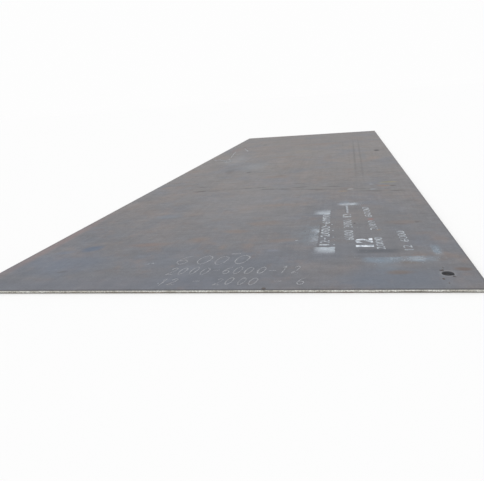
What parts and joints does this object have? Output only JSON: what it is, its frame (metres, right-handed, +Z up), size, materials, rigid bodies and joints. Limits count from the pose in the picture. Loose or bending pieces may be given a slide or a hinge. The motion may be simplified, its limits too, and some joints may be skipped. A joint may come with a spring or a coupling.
{
  "type": "steel plate",
  "caption": "Flat rectangular hot-rolled steel plate with sheared edges on all sides and round torch-cut lifting holes beside one long side.",
  "frame": {"origin": "middle of the plate's underside", "axes": "+X across the plate, towards the side with the lifting holes; +Y along the plate, away from the end with the near hole; +Z up, out of the top face"},
  "size_m": [2, 6, 0.012],
  "materials": {
    "mill_scale_steel": "blue-grey mill scale on the faces, bright torn steel on the sheared edges"
  },
  "bodies": {
    "root": {"steel_plate": "mill_scale_steel"}
  },
  "joints": []
}
